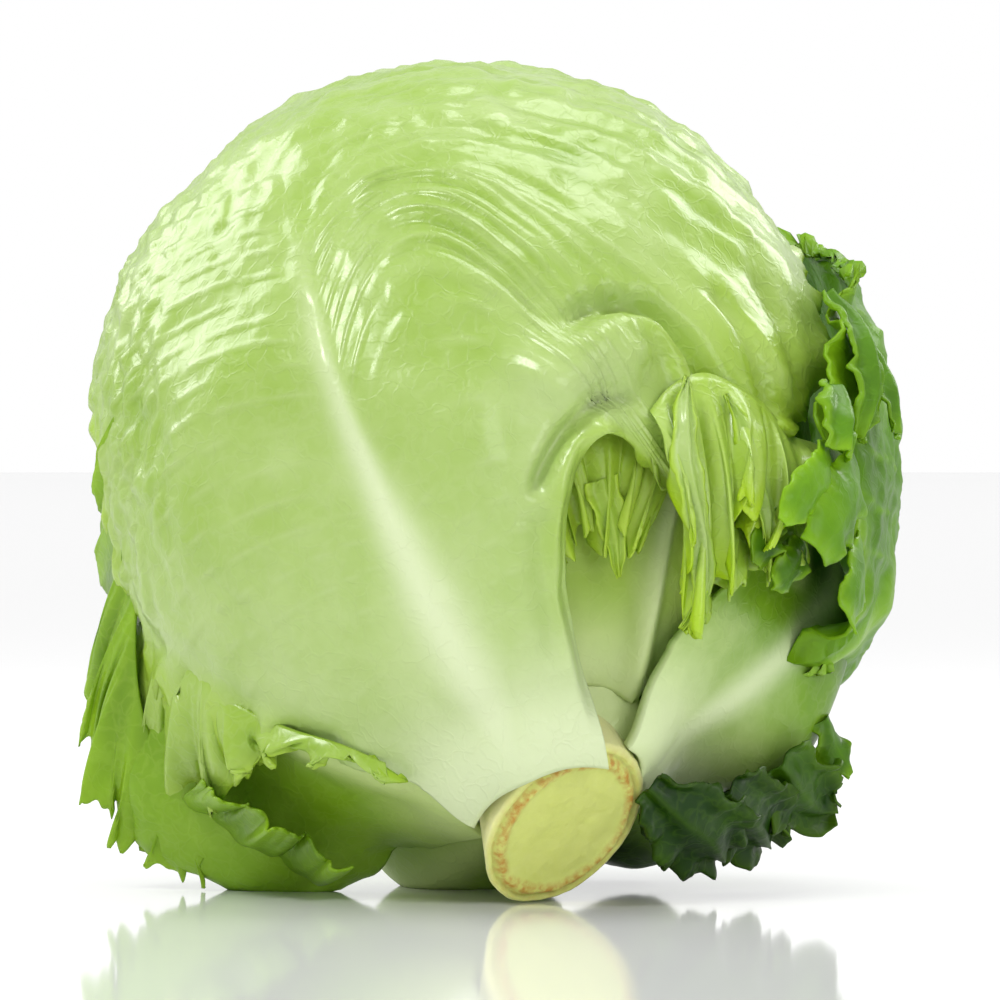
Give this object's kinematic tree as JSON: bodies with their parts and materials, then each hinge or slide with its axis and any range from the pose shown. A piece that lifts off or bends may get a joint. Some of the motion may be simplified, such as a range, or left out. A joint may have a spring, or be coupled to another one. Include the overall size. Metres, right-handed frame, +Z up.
{
  "type": "head of lettuce",
  "caption": "Crisp head of iceberg lettuce lying on its side, with its cut stem to the front, a pale ribbed front leaf and loose ruffled green outer leaves.",
  "frame": {"origin": "bottom centre of the whole head's box, on the surface that it rests on", "axes": "-Y towards the cut stem and the front leaf, +X to the right as seen from the front, +Z up"},
  "size_m": [0.16, 0.1506, 0.1639],
  "materials": {
    "wrapper_leaf": "waxy, wrinkled, thin",
    "loose_leaf": "waxy, blistered, ruffled",
    "inner_leaf": "smooth, thin",
    "heart": "smooth, crinkled",
    "cut_stem": "cut flesh, browned at the rim"
  },
  "bodies": {
    "root": {"stem": "cut_stem", "heart": "heart", "leaf_front": "wrapper_leaf", "leaf_left": "wrapper_leaf", "leaf_under": "wrapper_leaf", "leaf_right": "wrapper_leaf", "leaf_back": "wrapper_leaf", "leaf_right_outer": "loose_leaf", "leaf_low_right": "loose_leaf", "leaf_opening": "inner_leaf", "inner_leaf_1": "inner_leaf", "inner_leaf_2": "inner_leaf", "inner_leaf_3": "inner_leaf", "inner_leaf_4": "inner_leaf", "inner_leaf_5": "inner_leaf", "inner_leaf_6": "inner_leaf", "inner_leaf_7": "inner_leaf"}
  },
  "joints": []
}
